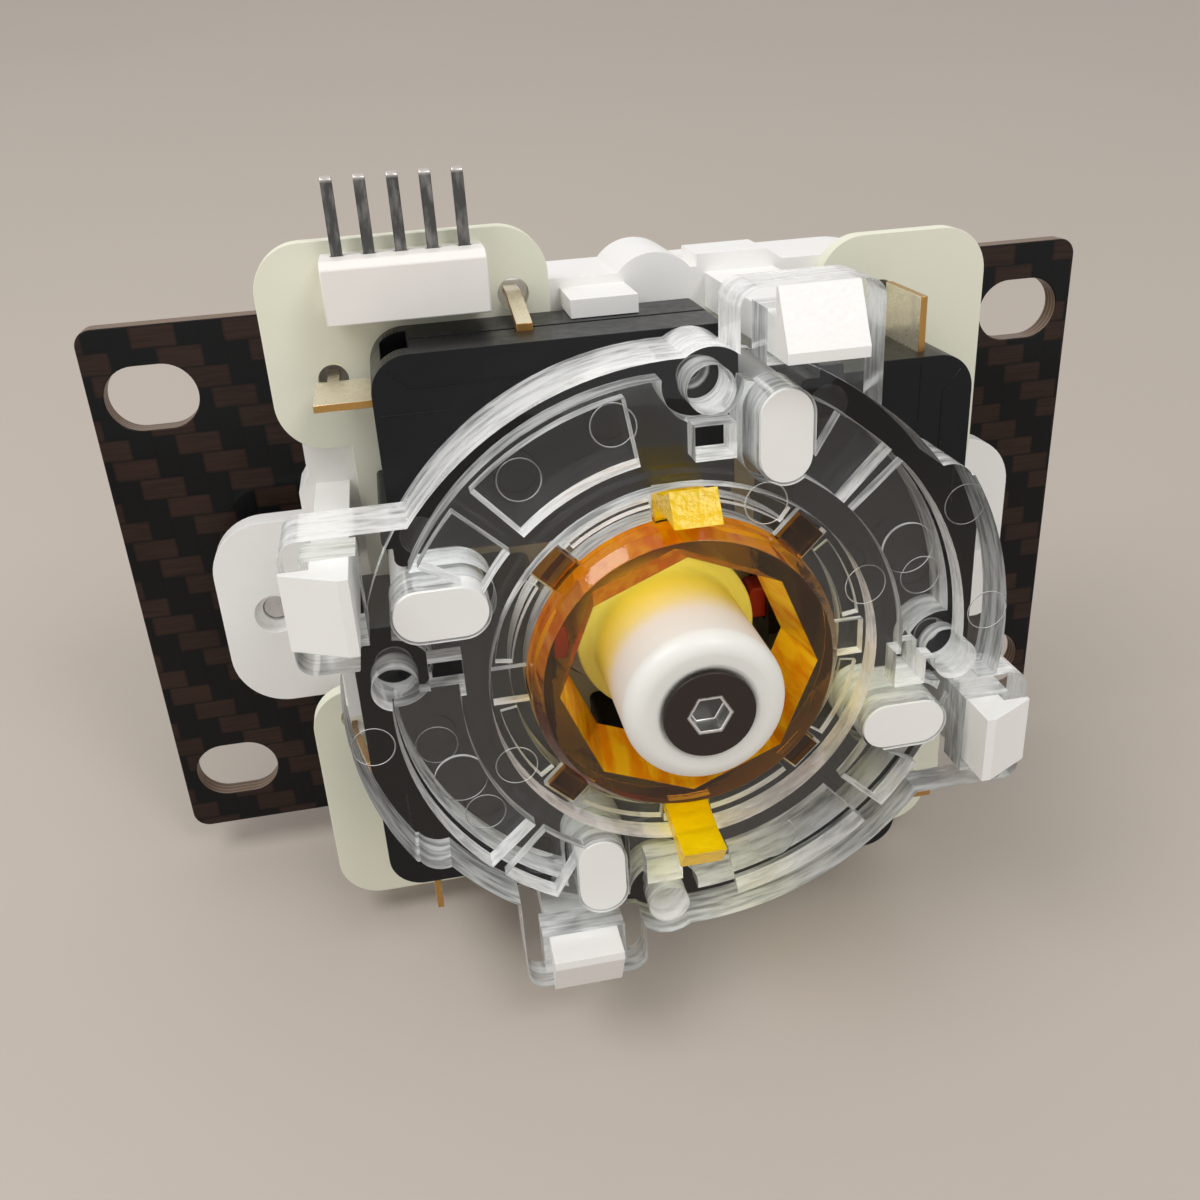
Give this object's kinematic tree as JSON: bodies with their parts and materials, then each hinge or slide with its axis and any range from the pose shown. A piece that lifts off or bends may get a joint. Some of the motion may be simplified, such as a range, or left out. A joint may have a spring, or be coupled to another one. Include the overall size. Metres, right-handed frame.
{
  "type": "arcade joystick lever",
  "caption": "Arcade joystick lever with a ball top on a slotted carbon mounting plate, microswitches round an octagonal gate, clear guide base and wiring header.",
  "frame": {"origin": "centre of the mounting plate's upper face, on the shaft axis", "axes": "+Z along the shaft towards the ball, +X along the plate's long side, -Y on the side of the wiring header"},
  "size_m": [0.095, 0.0708, 0.0968],
  "materials": {
    "carbon_fibre": "woven twill under clear resin",
    "white_plastic": "satin moulding",
    "actuator_plastic": "satin moulding",
    "board_laminate": "matt laminate",
    "tinned_pins": "tinned",
    "black_plastic": "satin moulding",
    "brass": "bright",
    "red_plastic": "satin moulding",
    "clear_plastic": "clear moulding",
    "amber_plastic": "tinted clear moulding",
    "grey_plastic": "satin moulding",
    "steel": "plated",
    "spring_steel": "drawn wire",
    "black_steel": "black oxide",
    "ball_plastic": "polished"
  },
  "bodies": {
    "frame": {"mounting_plate": "carbon_fibre", "plate_screws": "steel", "main_housing": "white_plastic", "circuit_board": "board_laminate", "header_body": "white_plastic", "header_pins": "tinned_pins", "switch_case_front": "black_plastic", "switch_case_right": "black_plastic", "switch_case_back": "black_plastic", "switch_case_left": "black_plastic", "switch_terminals_front": "brass", "switch_terminals_right": "brass", "switch_terminals_back": "brass", "switch_terminals_left": "brass", "guide_base": "clear_plastic", "octagon_guide": "amber_plastic", "spring_seat": "steel", "return_spring": "spring_steel"},
    "pivot_liner": {"pivot_liner": "grey_plastic"},
    "pivot_ball": {"pivot_ball": "white_plastic"},
    "lever": {"shaft": "steel", "shaft_clip": "spring_steel", "ball_top": "ball_plastic", "actuator": "actuator_plastic", "actuator_screw": "black_steel"},
    "plunger_front": {"plunger_front": "red_plastic"},
    "plunger_right": {"plunger_right": "red_plastic"},
    "plunger_back": {"plunger_back": "red_plastic"},
    "plunger_left": {"plunger_left": "red_plastic"}
  },
  "joints": [
    {"name": "tilt_left_right", "type": "hinge", "parent": "frame", "child": "pivot_liner", "pos_m": [0, 0, -0.0075], "axis": [0, 1, 0], "range_deg": [-5.6, 5.6], "stiffness_Nm_per_rad": 1, "deforming": ["return_spring"]},
    {"name": "tilt_forward_back", "type": "hinge", "parent": "pivot_liner", "child": "pivot_ball", "pos_m": [0, 0, -0.0075], "axis": [1, 0, 0], "range_deg": [-5.6, 5.6], "stiffness_Nm_per_rad": 1, "deforming": ["return_spring"]},
    {"name": "shaft_spin", "type": "hinge", "parent": "pivot_ball", "child": "lever", "pos_m": [0, 0, -0.0075], "axis": [0, 0, 1], "continuous": true},
    {"name": "plunger_left_slide", "type": "slide", "parent": "frame", "child": "plunger_left", "axis": [-1, 0, 0], "range_m": [-0.00095, 0.00095]},
    {"name": "plunger_right_slide", "type": "slide", "parent": "frame", "child": "plunger_right", "axis": [1, 0, 0], "range_m": [-0.00095, 0.00095]},
    {"name": "plunger_back_slide", "type": "slide", "parent": "frame", "child": "plunger_back", "axis": [0, 1, 0], "range_m": [-0.00095, 0.00095]},
    {"name": "plunger_front_slide", "type": "slide", "parent": "frame", "child": "plunger_front", "axis": [0, -1, 0], "range_m": [-0.00095, 0.00095]}
  ],
  "couplings": [
    {"joint": "plunger_left_slide", "follows": "tilt_left_right", "m_per_rad": 0.0092},
    {"joint": "plunger_right_slide", "follows": "tilt_left_right", "m_per_rad": -0.0092},
    {"joint": "plunger_back_slide", "follows": "tilt_forward_back", "m_per_rad": 0.0092},
    {"joint": "plunger_front_slide", "follows": "tilt_forward_back", "m_per_rad": -0.0092}
  ]
}
